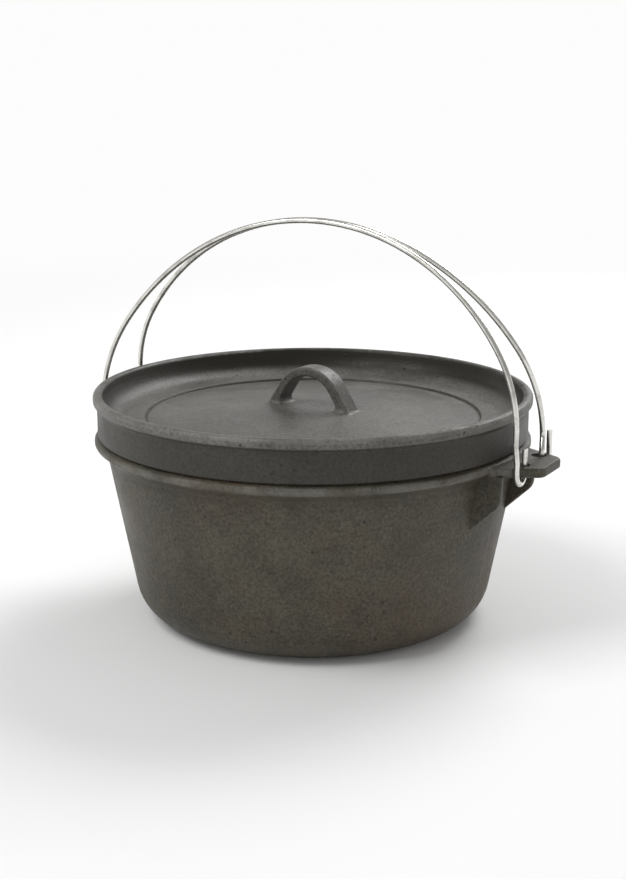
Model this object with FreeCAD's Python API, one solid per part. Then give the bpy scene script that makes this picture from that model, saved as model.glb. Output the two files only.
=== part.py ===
import FreeCAD, Part
import math
import os

from FreeCAD import Vector

# A cast iron dutch oven that hangs by two wire bails. All sizes are in millimetres.
# The origin is the middle of the base's underside. +Z is up, +X goes out through one ear,
# and -Y is the front.

# ---------------------------------------------------------------- pot
pot_height = 137.0          # underside of the base to the seat that carries the lid
wall_radius = 150.8         # outside of the wall where the rim band starts
wall_draft = 10.8           # lean of the wall from upright, in degrees
wall_thickness = 5.0
floor_thickness = 6.0
corner_radius = 29.5        # outside, between base and wall

rim_overhang = 8.7          # wall's outside to the outermost edge of the rim flange
rim_drop = 13.0             # seat down to where the rim band starts on the wall
rim_edge_top = 2.6          # seat down to the top of the flange's edge
rim_edge_height = 3.4
rim_foot_radius = 6.0       # between the wall and the rim band
rim_rounding = 1.4
seat_inset = 5.9            # flange's edge in to the outer edge of the level seat

# ---------------------------------------------------------------- lid
lid_height = 30.5           # seat to the top of the lip
lip_overhang = 0.5          # lip's edge beyond the rim's edge
lip_width = 6.4
lip_height = 6.0
lip_foot = 2.8              # lip's edge down to the skirt's face
skirt_inset = 2.8           # lip's edge in to the skirt's face
skirt_thickness = 5.5
plate_thickness = 5.0
plate_inset = 38.0          # lip's edge in to where the domed plate steps up to the tray's band
plate_depth = 20.2          # lip's top down to the plate's edge
plate_dome = 6.0            # rise of the plate from its edge to its middle
plate_step = 1.6
plate_step_width = 1.0
tray_wall_angle = 75.0      # tray's inner wall, in degrees from level
tray_corner_radius = 17.0
ring_clearance = 1.5        # locating ring to the inside of the rim
ring_thickness = 4.5
ring_depth = 6.0            # below the seat
channel_height = 6.0        # top of the channel between skirt and ring, above the band's underside
channel_fall = 3.5          # how much lower the channel is at the ring
step_rounding = 0.8
lip_rounding = 3.0
lip_foot_rounding = 2.0
skirt_root_radius = 2.5     # skirt's face into the lip's foot
skirt_foot_rounding = 1.6
skirt_inner_rounding = 0.8
channel_rounding = 2.0
ring_rounding = 1.0
ring_root_radius = 3.0      # ring's inside into the plate

# ---------------------------------------------------------------- lid handle
handle_half_span = 35.5     # outside of the legs, at the plate
handle_rise = 30.0
handle_lean = 19.5          # how far each leg leans in over the full rise
handle_crown_thickness = 6.7
handle_leg_thickness = 8.5  # at the plate, along the span
handle_width = 16.0
handle_rounding = 1.8
handle_foot_radius = 4.0
handle_sink = 3.0           # how far the legs start inside the plate
handle_parting = 0.02       # top of the plate up to the level face between the nodes lid and lid_handle
handle_crown_share = 0.98   # share of the crown's half width that its corner arc takes up
handle_turn = -5.0          # the loose lid sits turned by this much from the ears, in degrees

# ---------------------------------------------------------------- ears
ear_overhang = 28.0         # rim's edge to the outer edge of the shelf
ear_tip_half = 17.0
ear_root_half = 34.0
ear_root_inset = 4.5        # rim's edge in to where the shelf reaches its full width
ear_thickness = 7.0
ear_top_drop = 2.3          # seat down to the top of the shelf
ear_corner = 8.0
ear_root_corner = 3.0
ear_rounding = 1.8
web_offset = 30.0           # middle of each web from the ear's middle line
web_thickness = 5.0
web_overhang = 4.0          # rim's edge to the web's outer edge under the shelf
web_draft = 1.5             # how far that edge falls in over its upright part
web_straight = 20.0         # upright part of the web's outer edge
web_corner = 12.0
web_drop = 43.0             # shelf's underside down to the foot of the web
web_rounding = 1.5

# ---------------------------------------------------------------- wire bails
wire_radius = 2.0
hole_clearance = 3.3        # wire's surface to the hole's wall, when the wire is in its middle
hole_overhang = 11.5        # rim's edge to the holes' middles
hole_y = 14.8
hook_clearance = 0.4        # inside of the hook to the corners of the land it turns round
hook_offset = 2.0           # hooks beyond the middles of the holes
hook_drop = 0.6             # straight part of the hook below the hinge line
outer_tail_rise = 15.0      # rear wire's cut end, outside the ear, above the top of the shelf
inner_tail_rise = 11.5      # front wire's cut end, up through the hole, above the top of the shelf
bail_tuck = 2.5             # hooks in to the widest place of the arch
bail_side_radius = 105.0
bail_headroom = 121.5       # lid's top up to the wire's middle line at the top
bail_gap = 0.6              # between the two wires at the top
knee_radius = 7.0
lower_knee_rise = 3.5       # shelf's top up to where each wire leaves the line of its hook
upper_knee_rise = 12.5
bail_widest_rise = 16.0     # shelf's top up to the widest place

# ---------------------------------------------------------------- worked out from the sizes above
slope = math.tan(math.radians(wall_draft))
draft_cosine = math.cos(math.radians(wall_draft))
rim_band_start = pot_height - rim_drop
rim_radius = wall_radius + rim_overhang
seat_radius = rim_radius - seat_inset
lip_radius = rim_radius + lip_overhang
skirt_radius = lip_radius - skirt_inset
plate_radius = lip_radius - plate_inset
ear_reach = rim_radius + ear_overhang
ear_root = rim_radius - ear_root_inset
ear_top = pot_height - ear_top_drop
ear_middle = ear_top - ear_thickness / 2
ear_bottom = ear_top - ear_thickness
lid_top = pot_height + lid_height
plate_middle = lid_top - plate_depth + plate_dome
web_reach = rim_radius + web_overhang
hole_radius = wire_radius + hole_clearance
hole_x = rim_radius + hole_overhang
hook_x = hole_x + hook_offset
bail_half_width = hook_x - bail_tuck
bail_apex = lid_top + bail_headroom
up = Vector(0, 0, 1)
origin = Vector(0, 0, 0)


def wall_outside(z):
    """Radius of the wall's outside at a height."""
    return wall_radius + (z - rim_band_start) * slope


def wall_inside(z):
    """Radius of the wall's inside at a height."""
    return wall_outside(z) - wall_thickness / draft_cosine


def section(radius, z):
    """A point of a turned outline."""
    return Vector(radius, 0, z)


def rounded_path(corners):
    """Edges along straight runs, each corner (point, radius) turned by a tangent arc."""
    edges = []
    last = corners[0][0]
    for index in range(1, len(corners)):
        point, radius = corners[index]
        if index == len(corners) - 1 or radius == 0:
            edges.append(Part.makeLine(last, point))
            last = point
            continue
        back = (corners[index - 1][0] - point).normalize()
        ahead = (corners[index + 1][0] - point).normalize()
        half_turn = back.getAngle(ahead) / 2
        inward = (back + ahead).normalize()
        start = point + back * (radius / math.tan(half_turn))
        end = point + ahead * (radius / math.tan(half_turn))
        middle = point + inward * (radius / math.sin(half_turn) - radius)
        if (start - last).Length > 1e-4:
            edges.append(Part.makeLine(last, start))
        edges.append(Part.Arc(start, middle, end).toShape())
        last = end
    return edges


def arch_edges(half_width, rise, side_radius, centre, across, upward):
    """Three tangent arcs from +across to -across over the top, in the plane of across and upward."""
    top_radius = ((half_width - side_radius) ** 2 + rise ** 2 - side_radius ** 2) / (2 * (rise - side_radius))
    turn = math.atan2(top_radius - rise, half_width - side_radius)

    def on_side(sign, angle):
        reach = half_width - side_radius + side_radius * math.cos(angle)
        return centre + across * (sign * reach) + upward * (side_radius * math.sin(angle))

    top = centre + upward * rise
    ends = [on_side(sign, 0) for sign in (1, -1)]
    middles = [on_side(sign, turn / 2) for sign in (1, -1)]
    joins = [on_side(sign, turn) for sign in (1, -1)]
    return [
        Part.Arc(ends[0], middles[0], joins[0]).toShape(),
        Part.Arc(joins[0], top, joins[1]).toShape(),
        Part.Arc(joins[1], middles[1], ends[1]).toShape(),
    ]


def turned(edges):
    """A solid of revolution about the upright axis."""
    face = Part.Face(Part.Wire(Part.__sortEdges__(edges)))
    return face.revolve(origin, up, 360)


def edges_where(shape, test):
    return [edge for edge in shape.Edges if test(edge.BoundBox)]


# ---------------------------------------------------------------- pot body
def make_bowl():
    """Base, wall and rim flange as one turned shape."""
    edge_top = pot_height - rim_edge_top
    edge_bottom = edge_top - rim_edge_height
    corners = [
        (section(0, 0), 0),
        (section(wall_outside(0), 0), corner_radius),
        (section(wall_radius, rim_band_start), rim_foot_radius),
        (section(rim_radius, edge_bottom), rim_rounding),
        (section(rim_radius, edge_top), rim_rounding),
        (section(seat_radius, pot_height), rim_rounding),
        (section(wall_inside(pot_height), pot_height), rim_rounding),
        (section(wall_inside(floor_thickness), floor_thickness), corner_radius - wall_thickness),
        (section(0, floor_thickness), 0),
        (section(0, 0), 0),
    ]
    return turned(rounded_path(corners))


def make_shelf():
    """Level plate of one ear, on the +X side."""
    inner = wall_inside(pot_height) + wall_thickness / 2
    corners = [
        (Vector(inner, -ear_root_half, ear_bottom), 0),
        (Vector(ear_root, -ear_root_half, ear_bottom), ear_root_corner),
        (Vector(ear_reach, -ear_tip_half, ear_bottom), ear_corner),
        (Vector(ear_reach, ear_tip_half, ear_bottom), ear_corner),
        (Vector(ear_root, ear_root_half, ear_bottom), ear_root_corner),
        (Vector(inner, ear_root_half, ear_bottom), 0),
        (Vector(inner, -ear_root_half, ear_bottom), 0),
    ]
    plate = Part.Face(Part.Wire(rounded_path(corners))).extrude(up * ear_thickness)
    level = edges_where(plate, lambda box: box.ZLength < 0.01 and box.XMax > ear_root - 0.01)
    plate = plate.makeFillet(ear_rounding, level)
    for side in (-1, 1):
        foot = Vector(hole_x, side * hole_y, ear_bottom - ear_thickness)
        hole = Part.makeCylinder(hole_radius, 3 * ear_thickness, foot)
        plate = plate.cut(hole)
    return plate


def make_web(side):
    """Upright plate under the shelf, at one side of the ear's middle line."""
    foot = ear_bottom - web_drop
    inset = math.sqrt((wall_outside(foot) - wall_thickness / 2) ** 2 - web_offset ** 2)
    inset_top = math.sqrt((wall_outside(ear_bottom) - wall_thickness / 2) ** 2 - web_offset ** 2)
    start_y = side * web_offset - web_thickness / 2
    corners = [
        (Vector(inset, start_y, foot), 0),
        (Vector(web_reach - web_draft, start_y, ear_bottom - web_straight), web_corner),
        (Vector(web_reach, start_y, ear_bottom + 1), 0),
        (Vector(inset_top, start_y, ear_bottom + 1), 0),
        (Vector(inset, start_y, foot), 0),
    ]
    plate = Part.Face(Part.Wire(rounded_path(corners))).extrude(Vector(0, web_thickness, 0))
    outer = edges_where(plate, lambda box: box.YLength < 0.01 and box.ZLength > 1
                        and box.XMax > web_reach - 2 * web_draft)
    return plate.makeFillet(web_rounding, outer)


def make_pot_body():
    body = make_bowl()
    for turn in (0, 180):
        ear = make_shelf().fuse([make_web(-1), make_web(1)])
        ear.rotate(origin, up, turn)
        body = body.fuse(ear)
    return body.removeSplitter()


# ---------------------------------------------------------------- lid
def make_dish():
    """Tray, lip, skirt and locating ring as one turned shape."""
    plate_edge = lid_top - plate_depth
    band = plate_edge + plate_step
    wall_foot = lip_radius - lip_width - (lid_top - band) / math.tan(math.radians(tray_wall_angle))
    skirt_inside = skirt_radius - skirt_thickness
    ring_outside = wall_inside(pot_height - ring_depth) - ring_clearance
    ring_inside = ring_outside - ring_thickness
    ring_bottom = pot_height - ring_depth
    under_edge = plate_edge - plate_thickness
    channel_top = band - plate_thickness + channel_height

    def dome(edge_z):
        """Arc of the domed plate from its middle to its edge."""
        sphere = (plate_radius ** 2 + plate_dome ** 2) / (2 * plate_dome)
        half = plate_radius / 2
        fall = sphere - math.sqrt(sphere ** 2 - half ** 2)
        middle = section(half, edge_z + plate_dome - fall)
        return Part.Arc(section(0, edge_z + plate_dome), middle, section(plate_radius, edge_z)).toShape()

    outline = rounded_path([
        (section(plate_radius, plate_edge), 0),
        (section(plate_radius + plate_step_width, band), step_rounding),
        (section(wall_foot, band), tray_corner_radius),
        (section(lip_radius - lip_width, lid_top), lip_rounding),
        (section(lip_radius, lid_top), lip_rounding),
        (section(lip_radius, lid_top - lip_height), lip_foot_rounding),
        (section(skirt_radius, lid_top - lip_height - lip_foot), skirt_root_radius),
        (section(skirt_radius, pot_height), skirt_foot_rounding),
        (section(skirt_inside, pot_height), skirt_inner_rounding),
        (section(skirt_inside, channel_top), channel_rounding),
        (section(ring_outside, channel_top - channel_fall), channel_rounding),
        (section(ring_outside, ring_bottom), ring_rounding),
        (section(ring_inside, ring_bottom), ring_rounding),
        (section(ring_inside, band - plate_thickness), ring_root_radius),
        (section(plate_radius, under_edge), 0),
    ])
    axis = Part.makeLine(section(0, under_edge + plate_dome), section(0, plate_edge + plate_dome))
    return turned([dome(plate_edge)] + outline + [dome(under_edge), axis])


def strap_side(half_span, rise, lean, side):
    """Foot and crown corner of one edge line of the handle, from the middle of the plate."""
    spread = half_span + lean / rise * handle_sink
    return [Vector(side * spread, 0, -handle_sink), Vector(side * (half_span - lean), 0, rise)]


def crown_radius(half_span, rise, lean):
    """Radius that turns nearly the whole crown between two leaning legs into one arc."""
    half_turn = (math.pi / 2 + math.atan2(lean, rise)) / 2
    return handle_crown_share * (half_span - lean) * math.tan(half_turn)


def make_handle():
    """Strap loop over the middle of the plate: leaning legs, thicker at the feet, and a round crown."""
    inner_span = handle_half_span - handle_leg_thickness
    inner_rise = handle_rise - handle_crown_thickness
    inner_lean = handle_lean * inner_rise / handle_rise
    outer_left, crown_left = strap_side(handle_half_span, handle_rise, handle_lean, -1)
    outer_right, crown_right = strap_side(handle_half_span, handle_rise, handle_lean, 1)
    inner_left, under_left = strap_side(inner_span, inner_rise, inner_lean, -1)
    inner_right, under_right = strap_side(inner_span, inner_rise, inner_lean, 1)
    outer_radius = crown_radius(handle_half_span, handle_rise, handle_lean)
    under_radius = crown_radius(inner_span, inner_rise, inner_lean)
    outline = rounded_path([
        (outer_left, 0),
        (crown_left, outer_radius),
        (crown_right, outer_radius),
        (outer_right, 0),
        (inner_right, 0),
        (under_right, under_radius),
        (under_left, under_radius),
        (inner_left, 0),
        (outer_left, 0),
    ])
    strap = Part.Face(Part.Wire(outline)).extrude(Vector(0, handle_width, 0))
    along = edges_where(strap, lambda box: box.YLength < 0.01 and box.ZMax > 1)
    strap = strap.makeFillet(handle_rounding, along)
    strap.translate(Vector(0, -handle_width / 2, plate_middle))
    strap.rotate(origin, up, handle_turn)
    return strap


def make_lid():
    lid = make_dish().fuse(make_handle()).removeSplitter()
    reach = math.hypot(handle_half_span, handle_width / 2) + 1
    feet = edges_where(lid, lambda box: max(-box.XMin, box.XMax, -box.YMin, box.YMax) < reach
                       and plate_middle - 2 < box.ZMin and box.ZMax < plate_middle + 0.1)
    return lid.makeFillet(handle_foot_radius, feet)


def part_lid():
    """The lid's dish and its handle: one casting, parted level with the top of the plate."""
    lid = make_lid()
    reach = handle_half_span + handle_width
    corner = Vector(-reach, -reach, plate_middle + handle_parting)
    block = Part.makeBox(2 * reach, 2 * reach, 2 * handle_rise, corner)
    return lid.cut(block), lid.common(block)


# ---------------------------------------------------------------- bails
def shelf_edge_y(x):
    """Distance from the ear's middle line to its slanted side."""
    return ear_tip_half + (ear_reach - x) * (ear_root_half - ear_tip_half) / (ear_reach - ear_root)


def make_bail(leg_outside):
    """Rear wire: hook, arch and hook, leaning in so that it meets the front wire over the middle.

    Each hook turns round the land of iron between a hole and the shelf's slanted side, with the leg
    on one side of the land and the cut tail on the other.
    """
    land_inner = hole_y + math.sqrt(hole_radius ** 2 - hook_offset ** 2)
    land_outer = shelf_edge_y(hook_x - wire_radius)
    hinge_y = (land_inner + land_outer) / 2
    land_corner = math.hypot((land_outer - land_inner) / 2, ear_thickness / 2)
    hook_radius = land_corner + hook_clearance + wire_radius
    hook_foot = ear_middle - hook_drop - hook_radius
    if leg_outside:
        leg_y = hinge_y + hook_radius
        tail_y = hinge_y - hook_radius
        tail_top = ear_top + inner_tail_rise
        plane_y = leg_y
        plane_z = ear_top + lower_knee_rise
    else:
        leg_y = hinge_y - hook_radius
        tail_y = hinge_y + hook_radius
        tail_top = ear_top + outer_tail_rise
        plane_y = hinge_y
        plane_z = ear_top + upper_knee_rise
    apex = Vector(0, wire_radius + bail_gap / 2, bail_apex)
    upward = (apex - Vector(0, plane_y, plane_z)).normalize()
    centre = apex - upward * ((bail_apex - ear_top - bail_widest_rise) / upward.z)
    side_start = centre + Vector(bail_half_width, 0, 0)
    corners = [
        (Vector(hook_x, tail_y, tail_top), 0),
        (Vector(hook_x, tail_y, hook_foot), hook_radius),
        (Vector(hook_x, leg_y, hook_foot), hook_radius),
        (Vector(hook_x, leg_y, ear_top + lower_knee_rise), knee_radius),
    ]
    if not leg_outside:
        corners.append((Vector(bail_half_width, plane_y, plane_z), knee_radius))
    corners.append((side_start, 0))
    right = rounded_path(corners)
    left = [edge.mirror(origin, Vector(1, 0, 0)) for edge in right]
    rise = (apex - centre).Length
    over = arch_edges(bail_half_width, rise, bail_side_radius, centre, Vector(1, 0, 0), upward)
    path = Part.Wire(Part.__sortEdges__(right + over + left))
    ring = Part.Wire(Part.makeCircle(wire_radius, corners[0][0], up))
    print("hinge line at y", round(hinge_y, 3), "z", round(ear_middle, 3), "hook radius", round(hook_radius, 3))
    return path.makePipeShell([ring], True, True)


def make_front_bail():
    wire = make_bail(leg_outside=True)
    wire.rotate(origin, up, 180)
    return wire


def make_rear_bail():
    return make_bail(leg_outside=False)


os.makedirs("parts", exist_ok=True)
dish, handle = part_lid()
nodes = {
    "pot_body": make_pot_body(),
    "lid": dish,
    "lid_handle": handle,
    "front_bail": make_front_bail(),
    "rear_bail": make_rear_bail(),
}
for name, shape in nodes.items():
    print(name, "valid", shape.isValid(), "solids", len(shape.Solids), "volume", round(shape.Volume, 1))
    shape.exportStep("parts/" + name + ".step")
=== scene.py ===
import math

import bpy
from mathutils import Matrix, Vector


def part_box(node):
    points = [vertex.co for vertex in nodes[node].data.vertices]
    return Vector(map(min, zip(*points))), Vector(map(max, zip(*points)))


# A cast iron dutch oven on a pale floor. Everything is in metres, in the CAD frame.
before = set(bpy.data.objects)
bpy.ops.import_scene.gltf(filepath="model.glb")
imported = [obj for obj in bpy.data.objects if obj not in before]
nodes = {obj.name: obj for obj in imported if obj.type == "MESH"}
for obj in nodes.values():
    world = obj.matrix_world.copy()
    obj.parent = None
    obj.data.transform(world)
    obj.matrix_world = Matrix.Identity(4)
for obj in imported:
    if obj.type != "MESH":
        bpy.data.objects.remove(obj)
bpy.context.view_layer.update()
pot_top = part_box("pot_body")[1]
lid_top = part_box("lid")[1]
SEAT = pot_top.z                        # where the lid rests on the pot's rim
LIP_TOP = lid_top.z
LIP_RADIUS = lid_top.y
PLATE_RADIUS = LIP_RADIUS - 0.0380      # the level plate inside the lid's tray

BLACK = (0.0, 0.0, 0.0, 1.0)
WHITE = (1.0, 1.0, 1.0, 1.0)
PAINTED_SHADE = (0.010, 0.008, 0.003, 1.0)      # painted shade: the near-black laid where shade falls on the iron
GRAIN_TIP = (0.150, 0.145, 0.130, 1.0)  # the tops of the sand grain
WORN_AND_HIGHLIGHT = (0.240, 0.236, 0.220, 1.0)       # edges rubbed almost bright, and a painted highlight along them
BRIGHT_STEEL = (0.74, 0.73, 0.69, 1.0)
DULL_STEEL = (0.46, 0.45, 0.41, 1.0)
PAPER = (0.88, 0.88, 0.88, 1.0)
HORIZON_LIGHT = 0.98
CEILING_LIGHT = 0.38
LIT_POINT = Vector((0.0, 0.0, 0.120))   # both lamps look here
CAMERA_AIM = Vector((0.0, 0.0, 0.128))


# ---------------------------------------------------------------- node helpers
COLOUR_A = 6            # a mix node has an A, a B and a result for each kind of value
COLOUR_B = 7
COLOUR_RESULT = 2


class Shader:
    """A material's node tree, with short calls for the nodes used here."""

    def __init__(self, name):
        self.material = bpy.data.materials.new(name)
        self.material.use_nodes = True
        self.tree = self.material.node_tree
        self.surface = self.tree.nodes["Principled BSDF"]
        self.place = self.tree.nodes.new("ShaderNodeTexCoord").outputs["Object"]

    def put(self, socket, value):
        """Links value to the socket, or sets it there as a constant."""
        if isinstance(value, bpy.types.NodeSocket):
            self.tree.links.new(value, socket)
        else:
            socket.default_value = value

    def math(self, operation, a, b=0.0):
        node = self.tree.nodes.new("ShaderNodeMath")
        node.operation = operation
        self.put(node.inputs[0], a)
        self.put(node.inputs[1], b)
        return node.outputs[0]

    def times(self, a, b):
        return self.math("MULTIPLY", a, b)

    def noise(self, scale, detail=2.0, roughness=0.5):
        node = self.tree.nodes.new("ShaderNodeTexNoise")
        self.put(node.inputs["Vector"], self.place)
        node.inputs["Scale"].default_value = scale
        node.inputs["Detail"].default_value = detail
        node.inputs["Roughness"].default_value = roughness
        return node.outputs["Fac"]

    def cells(self, scale):
        node = self.tree.nodes.new("ShaderNodeTexVoronoi")
        self.put(node.inputs["Vector"], self.place)
        node.inputs["Scale"].default_value = scale
        return node.outputs["Distance"]

    def stretch(self, value, low, high, to_low=0.0, to_high=1.0):
        """A smooth step of value from to_low at low to to_high at high."""
        node = self.tree.nodes.new("ShaderNodeMapRange")
        node.interpolation_type = "SMOOTHSTEP"
        self.put(node.inputs["Value"], value)
        node.inputs["From Min"].default_value = low
        node.inputs["From Max"].default_value = high
        node.inputs["To Min"].default_value = to_low
        node.inputs["To Max"].default_value = to_high
        return node.outputs["Result"]

    def band(self, value, low, high, soft):
        """1 between low and high, falling to 0 over soft on both sides."""
        rise = self.stretch(value, low - soft, low)
        fall = self.stretch(value, high, high + soft, 1.0, 0.0)
        return self.times(rise, fall)

    def blend(self, factor, a, b):
        node = self.tree.nodes.new("ShaderNodeMix")
        node.data_type = "RGBA"
        self.put(node.inputs["Factor"], factor)
        self.put(node.inputs[COLOUR_A], a)
        self.put(node.inputs[COLOUR_B], b)
        return node.outputs[COLOUR_RESULT]

    def radius_and_height(self):
        """Distance from the upright axis, and height, of each point of the surface."""
        split = self.tree.nodes.new("ShaderNodeSeparateXYZ")
        self.put(split.inputs[0], self.place)
        x, y, z = split.outputs
        squared = self.math("ADD", self.times(x, x), self.times(y, y))
        return self.math("SQRT", squared), z

    def bump(self, height, strength, distance, normal=None):
        node = self.tree.nodes.new("ShaderNodeBump")
        node.inputs["Strength"].default_value = strength
        node.inputs["Distance"].default_value = distance
        self.put(node.inputs["Height"], height)
        if normal is not None:
            self.put(node.inputs["Normal"], normal)
        return node.outputs["Normal"]

    def finish(self, **values):
        """Gives the surface its values, by socket name with _ for each space."""
        for name, value in values.items():
            self.put(self.surface.inputs[name.replace("_", " ")], value)
        return self.material


# ---------------------------------------------------------------- cast iron
def cast_iron(s, deep, pale, rust, rust_share, rough_low, rough_high, wear_and_highlight, painted_shade):
    """Seasoned as-cast iron: sand grain, sparse pits, cloudy oil film and a trace of rust.

    wear_and_highlight and painted_shade are maps from 0 to 1 of where the iron is rubbed bright with a
    painted highlight, and where painted shade darkens it.
    """
    cloud = s.noise(9.0, 4.0, 0.55)
    blotch = s.noise(38.0, 3.0, 0.6)
    grain = s.noise(480.0, 3.0, 0.7)
    speck = s.noise(1300.0, 2.0, 0.6)
    pit_field = s.stretch(s.noise(45.0, 1.0), 0.54, 0.62)
    pits = s.times(s.stretch(s.cells(120.0), 0.07, 0.17, 1.0, 0.0), pit_field)
    tone = s.math("ADD", s.times(cloud, 0.55), s.times(blotch, 0.45))
    rust_patches = s.stretch(s.noise(12.0, 3.0, 0.6), 0.50, 0.72, 0.0, rust_share)

    colour = s.blend(s.stretch(tone, 0.36, 0.64), deep, pale)
    colour = s.blend(rust_patches, colour, rust)
    colour = s.blend(s.stretch(grain, 0.32, 0.60, 0.45, 0.0), colour, BLACK)
    colour = s.blend(s.stretch(grain, 0.56, 0.72, 0.0, 0.30), colour, GRAIN_TIP)
    colour = s.blend(s.times(pits, 0.75), colour, BLACK)
    # painted shade: darkens the colour towards near-black where the painted_shade map says
    colour = s.blend(painted_shade, colour, PAINTED_SHADE)
    # rubbed edges made bright: partly real wear, partly a painted highlight
    colour = s.blend(wear_and_highlight, colour, WORN_AND_HIGHLIGHT)

    film = s.math("ADD", s.times(blotch, 0.7), s.times(speck, 0.3))
    rough = s.stretch(film, 0.35, 0.65, rough_low, rough_high)
    rough = s.math("SUBTRACT", rough, s.times(wear_and_highlight, 0.12))

    swells = s.noise(95.0, 3.0, 0.5)
    unpitted = s.math("SUBTRACT", 1.0, pits)
    skin = s.bump(swells, 0.4, 0.0006)
    skin = s.bump(unpitted, 0.7, 0.0006, skin)
    skin = s.bump(grain, 0.7, 0.0004, skin)
    return s.finish(Base_Color=colour, Roughness=rough, Normal=skin, Specular_IOR_Level=0.28)


def rubbed_and_highlit(s, place, least, most):
    """Uneven wear, with a painted highlight, over a map of the places that get rubbed."""
    return s.times(place, s.stretch(s.noise(60.0, 3.0), 0.35, 0.60, least, most))


def make_pot_iron():
    """Worn and painted with a highlight on the rim's edge, painted shade a little under the rim, and
    browner than the lid.
    """
    s = Shader("pot_iron")
    radius, height = s.radius_and_height()
    rim = s.times(s.band(radius, LIP_RADIUS - 0.0018, LIP_RADIUS + 0.0100, 0.0010),
                  s.band(height, SEAT - 0.0070, SEAT + 0.0010, 0.0015))
    # painted shade: a darker band under the rim, where the rim shades the wall
    shade_under_rim = s.band(height, SEAT - 0.0170, SEAT - 0.0095, 0.0040)
    return cast_iron(s, deep=(0.052, 0.046, 0.033, 1.0), pale=(0.088, 0.080, 0.058, 1.0),
                     rust=(0.088, 0.058, 0.036, 1.0), rust_share=0.45, rough_low=0.42, rough_high=0.60,
                     wear_and_highlight=rubbed_and_highlit(s, rim, 0.08, 0.28), painted_shade=s.times(shade_under_rim, 0.15))


def make_lid_iron():
    """Painted paler than the pot for the light on the plate, worn and painted with a highlight on the
    lip, and painted shade on the skirt, the tray's wall and the step.
    """
    s = Shader("lid_iron")
    radius, height = s.radius_and_height()
    lip = s.times(s.band(radius, LIP_RADIUS - 0.0055, LIP_RADIUS + 0.0020, 0.0015),
                  s.band(height, LIP_TOP - 0.0023, LIP_TOP + 0.0015, 0.0012))
    # painted shade: the crease of the step, the skirt under the lip and the tray's inner wall are
    # darkened
    step = s.times(s.band(radius, PLATE_RADIUS - 0.0008, PLATE_RADIUS + 0.0008, 0.0009), 0.6)
    skirt = s.times(s.band(height, SEAT - 0.0070, LIP_TOP - 0.0075, 0.0015),
                    s.stretch(radius, LIP_RADIUS - 0.0070, LIP_RADIUS - 0.0050))
    wall = s.times(s.band(radius, LIP_RADIUS - 0.0200, LIP_RADIUS - 0.0070, 0.0060),
                   s.stretch(height, SEAT + 0.0130, SEAT + 0.0190))
    painted_shade = s.math("MAXIMUM", step, s.times(skirt, 0.72))
    painted_shade = s.math("MAXIMUM", painted_shade, s.times(wall, 0.95))
    # the lid's colours are paler than the pot's: a painted reflection of the sky on the upward plate
    return cast_iron(s, deep=(0.098, 0.095, 0.086, 1.0), pale=(0.150, 0.146, 0.132, 1.0),
                     rust=(0.100, 0.080, 0.060, 1.0), rust_share=0.25, rough_low=0.36, rough_high=0.52,
                     wear_and_highlight=rubbed_and_highlit(s, lip, 0.06, 0.26), painted_shade=painted_shade)


# ---------------------------------------------------------------- wire
def make_wire_metal():
    """Drawn steel wire with a bright plating: fine lines, a few dull spots."""
    s = Shader("bail_wire")
    dull = s.noise(70.0, 4.0, 0.6)
    lines = s.noise(1400.0)
    colour = s.blend(s.stretch(dull, 0.45, 0.70), BRIGHT_STEEL, DULL_STEEL)
    rough = s.stretch(dull, 0.35, 0.70, 0.17, 0.36)
    drawn = s.bump(lines, 0.12, 0.00004)
    return s.finish(Base_Color=colour, Roughness=rough, Normal=drawn, Metallic=1.0)


# ---------------------------------------------------------------- the oven's five pieces
def dress(material, *names):
    for name in names:
        mesh = nodes[name].data
        mesh.materials.clear()
        mesh.materials.append(material)


dress(make_pot_iron(), "pot_body")
dress(make_lid_iron(), "lid", "lid_handle")
dress(make_wire_metal(), "front_bail", "rear_bail")


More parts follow.
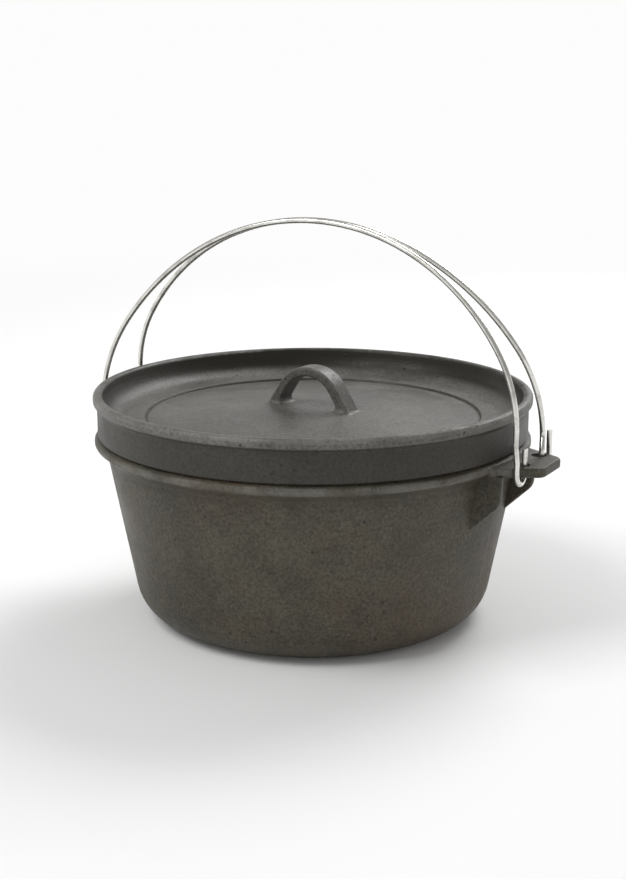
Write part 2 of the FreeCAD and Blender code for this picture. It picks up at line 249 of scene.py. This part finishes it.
# ---------------------------------------------------------------- floor and light
def make_floor(half):
    """Pale paper that turns as bright as the studio's wall away from the oven."""
    mesh = bpy.data.meshes.new("floor")
    corners = [(-half, -half, 0), (half, -half, 0), (half, half, 0), (-half, half, 0)]
    mesh.from_pydata(corners, [], [(0, 1, 2, 3)])
    floor = bpy.data.objects.new("floor", mesh)
    bpy.context.collection.objects.link(floor)
    s = Shader("floor_paper")
    distance, _ = s.radius_and_height()
    far = s.stretch(distance, 0.45, 2.2)
    mesh.materials.append(s.finish(
        Base_Color=s.blend(far, PAPER, BLACK), Roughness=0.9, Specular_IOR_Level=0.0,
        Emission_Color=WHITE, Emission_Strength=s.times(far, HORIZON_LIGHT)))
    return floor


def make_studio():
    """White walls that dim towards the ceiling, by the upward part of the view's direction."""
    world = bpy.data.worlds.new("studio")
    world.use_nodes = True
    tree = world.node_tree
    direction = tree.nodes.new("ShaderNodeTexCoord").outputs["Generated"]
    split = tree.nodes.new("ShaderNodeSeparateXYZ")
    tree.links.new(direction, split.inputs[0])
    fade = tree.nodes.new("ShaderNodeMapRange")
    fade.interpolation_type = "SMOOTHSTEP"
    fade.inputs["From Min"].default_value = 0.16
    fade.inputs["From Max"].default_value = 0.50
    fade.inputs["To Min"].default_value = HORIZON_LIGHT
    fade.inputs["To Max"].default_value = CEILING_LIGHT
    tree.links.new(split.outputs["Z"], fade.inputs["Value"])
    background = tree.nodes["Background"]
    tree.links.new(fade.outputs["Result"], background.inputs["Strength"])
    background.inputs["Color"].default_value = WHITE
    return world


def face(thing, place, target):
    """Puts a lamp or the camera at place, looking at target."""
    thing.location = place
    thing.rotation_euler = (target - place).to_track_quat("-Z", "Y").to_euler()
    bpy.context.collection.objects.link(thing)


def soft_light(name, place, size, power):
    data = bpy.data.lights.new(name, "AREA")
    data.size = size
    data.energy = power
    face(bpy.data.objects.new(name, data), Vector(place), LIT_POINT)


make_floor(half=30.0)
bpy.context.scene.world = make_studio()
bpy.context.scene.view_settings.view_transform = "Standard"
soft_light("key", (-0.8, -1.2, 1.9), size=1.2, power=26.0)
soft_light("back", (0.2, 1.9, 1.9), size=1.4, power=46.0)


# ---------------------------------------------------------------- camera
azimuth = math.radians(29.5)
away = 1.085
eye_height = 0.400
eye = Vector((away * math.sin(azimuth), -away * math.cos(azimuth), eye_height))
camera_data = bpy.data.cameras.new("camera")
camera_data.lens = 62.0
camera_data.clip_end = 200.0
camera = bpy.data.objects.new("camera", camera_data)
face(camera, eye, CAMERA_AIM)
bpy.context.scene.camera = camera
